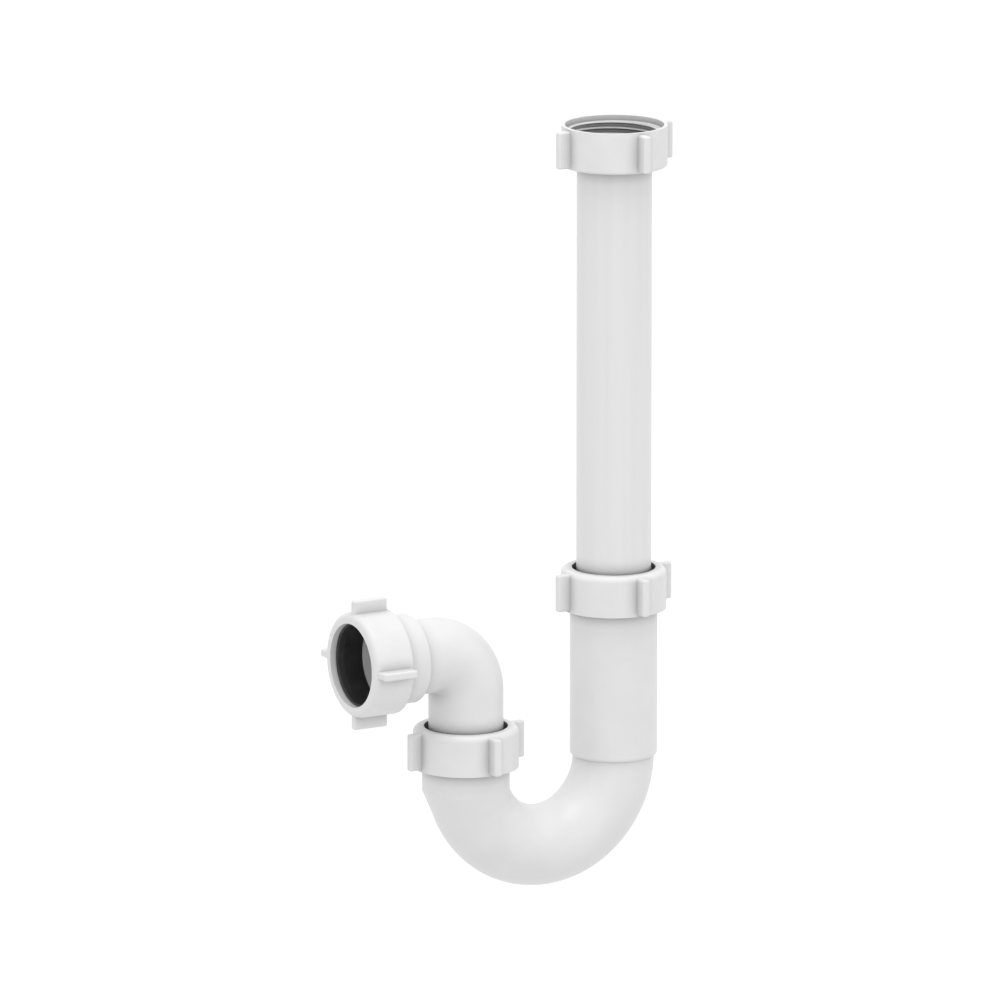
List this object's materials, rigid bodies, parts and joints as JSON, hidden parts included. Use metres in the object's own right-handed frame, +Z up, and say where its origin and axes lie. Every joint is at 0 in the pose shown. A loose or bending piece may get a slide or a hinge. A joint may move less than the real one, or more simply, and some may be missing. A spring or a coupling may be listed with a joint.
{
  "type": "telescopic swivel p-trap",
  "caption": "Telescopic tubular swivel P-trap: long sliding inlet tube, swept U-bend and swivelling outlet elbow, joined by lugged compression nuts with tapered seals.",
  "frame": {"origin": "centre of the inlet washer's top face, where the waste's tail seats in the inlet nut", "axes": "+Z up along the inlet axis, outlet along -X, trap plane XZ"},
  "size_m": [0.1961, 0.0702, 0.4089],
  "materials": {
    "white_plastic": "white moulded polypropylene, satin gloss",
    "slip_ring_plastic": "dark grey low-friction plastic, matt",
    "black_rubber": "black moulded rubber, matt"
  },
  "bodies": {
    "inlet_tube": {"inlet_tube": "white_plastic", "inlet_washer": "black_rubber"},
    "inlet_nut": {"inlet_nut": "white_plastic"},
    "leg_seal": {"leg_seal": "black_rubber"},
    "u_bend": {"u_bend": "white_plastic", "elbow_seal": "black_rubber"},
    "leg_slip_ring": {"leg_slip_ring": "slip_ring_plastic"},
    "leg_nut": {"leg_nut": "white_plastic"},
    "outlet_elbow": {"outlet_elbow": "white_plastic", "outlet_seal": "black_rubber"},
    "elbow_slip_ring": {"elbow_slip_ring": "slip_ring_plastic"},
    "elbow_nut": {"elbow_nut": "white_plastic"},
    "outlet_slip_ring": {"outlet_slip_ring": "slip_ring_plastic"},
    "outlet_nut": {"outlet_nut": "white_plastic"}
  },
  "joints": [
    {"name": "inlet_nut_turn", "type": "hinge", "parent": "inlet_tube", "child": "inlet_nut", "pos_m": [0, 0, 0], "axis": [0, 0, 1], "continuous": true},
    {"name": "telescope_slide", "type": "slide", "parent": "inlet_tube", "child": "leg_seal", "axis": [0, 0, 1], "range_m": [-0.04, 0.025]},
    {"name": "leg_swivel", "type": "hinge", "parent": "leg_seal", "child": "u_bend", "pos_m": [0, 0, -0.2279], "axis": [0, 0, 1], "continuous": true},
    {"name": "elbow_swivel", "type": "hinge", "parent": "u_bend", "child": "outlet_elbow", "pos_m": [-0.091, 0, -0.3042], "axis": [0, 0, 1], "range_deg": [-125, 125]},
    {"name": "leg_ring_travel", "type": "slide", "parent": "u_bend", "child": "leg_slip_ring", "axis": [0, 0, 1], "range_m": [0, 0.0112]},
    {"name": "leg_nut_turn", "type": "hinge", "parent": "leg_slip_ring", "child": "leg_nut", "pos_m": [0, 0, -0.2279], "axis": [0, 0, 1], "range_deg": [0, 1260]},
    {"name": "elbow_ring_travel", "type": "slide", "parent": "u_bend", "child": "elbow_slip_ring", "axis": [0, 0, 1], "range_m": [0, 0.0112]},
    {"name": "elbow_nut_turn", "type": "hinge", "parent": "elbow_slip_ring", "child": "elbow_nut", "pos_m": [-0.091, 0, -0.3042], "axis": [0, 0, 1], "range_deg": [0, 1260]},
    {"name": "outlet_ring_travel", "type": "slide", "parent": "outlet_elbow", "child": "outlet_slip_ring", "axis": [-1, 0, 0], "range_m": [0, 0.0112]},
    {"name": "outlet_nut_turn", "type": "hinge", "parent": "outlet_slip_ring", "child": "outlet_nut", "pos_m": [-0.161, 0, -0.2635], "axis": [-1, 0, 0], "range_deg": [0, 1260]}
  ],
  "couplings": [
    {"joint": "leg_ring_travel", "follows": "leg_nut_turn", "m_per_rad": 0.0005093},
    {"joint": "elbow_ring_travel", "follows": "elbow_nut_turn", "m_per_rad": 0.0005093},
    {"joint": "outlet_ring_travel", "follows": "outlet_nut_turn", "m_per_rad": 0.0005093}
  ]
}
